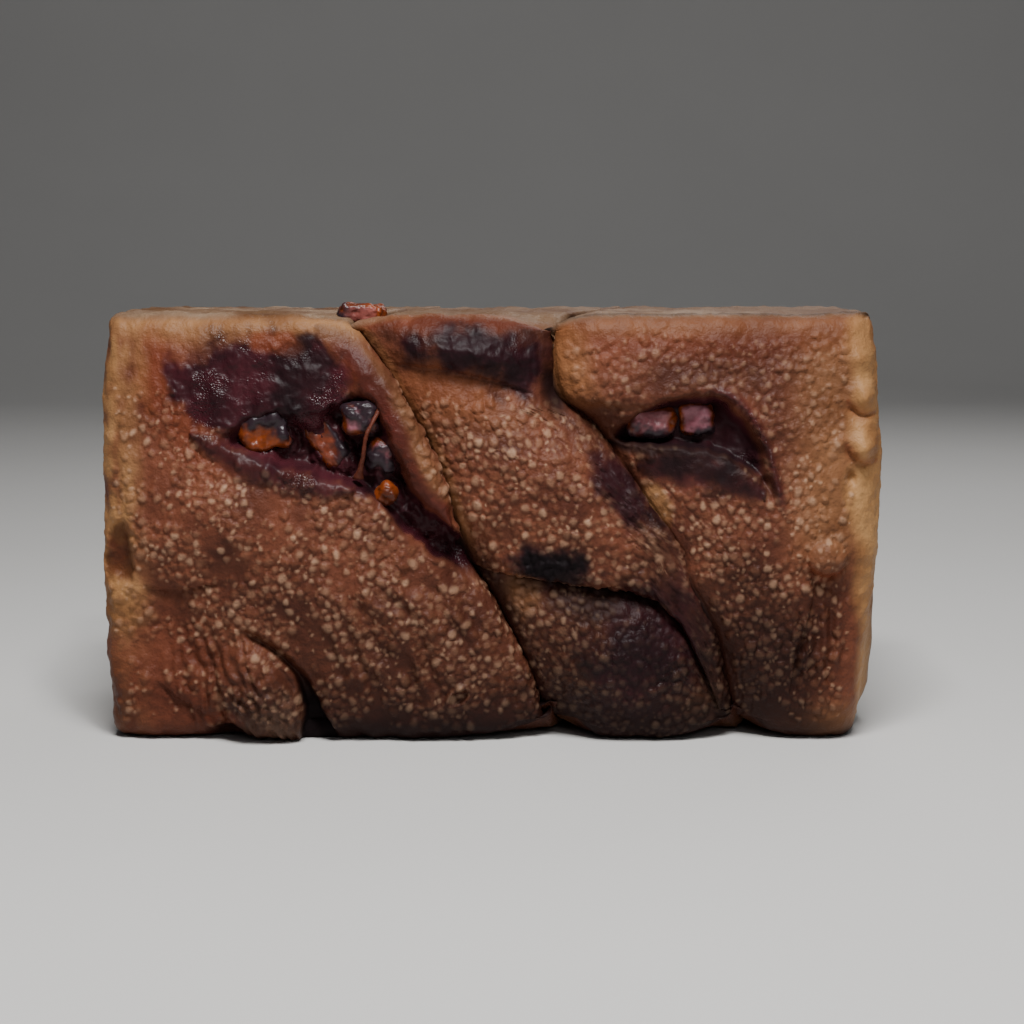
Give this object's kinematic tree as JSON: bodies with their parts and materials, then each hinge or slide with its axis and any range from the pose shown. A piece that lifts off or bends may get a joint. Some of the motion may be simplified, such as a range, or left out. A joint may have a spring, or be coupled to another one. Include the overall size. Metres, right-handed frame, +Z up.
{
  "type": "guava bread",
  "caption": "Tin-baked loaf of twisted dough standing on a long side, with a blistered brown crown torn open over pieces of guava paste.",
  "frame": {"origin": "on the floor, under the middle of the box round the loaf as it stands on its long side", "axes": "+X along the loaf, +Z up, across the tin, and the crown faces -Y"},
  "size_m": [0.229, 0.101, 0.1291],
  "materials": {
    "bread_crust": "blistered baked crust, darker and glossier where guava syrup burnt on it",
    "guava_paste": "glossy fruit paste, charred at the edges"
  },
  "bodies": {
    "root": {"loaf": "bread_crust", "guava_cube_left": "guava_paste", "guava_cube_right": "guava_paste", "guava_chunk_charred": "guava_paste", "guava_slab": "guava_paste", "guava_lump_upper": "guava_paste", "guava_lump_lower": "guava_paste", "guava_bit": "guava_paste", "guava_tab": "guava_paste"}
  },
  "joints": []
}
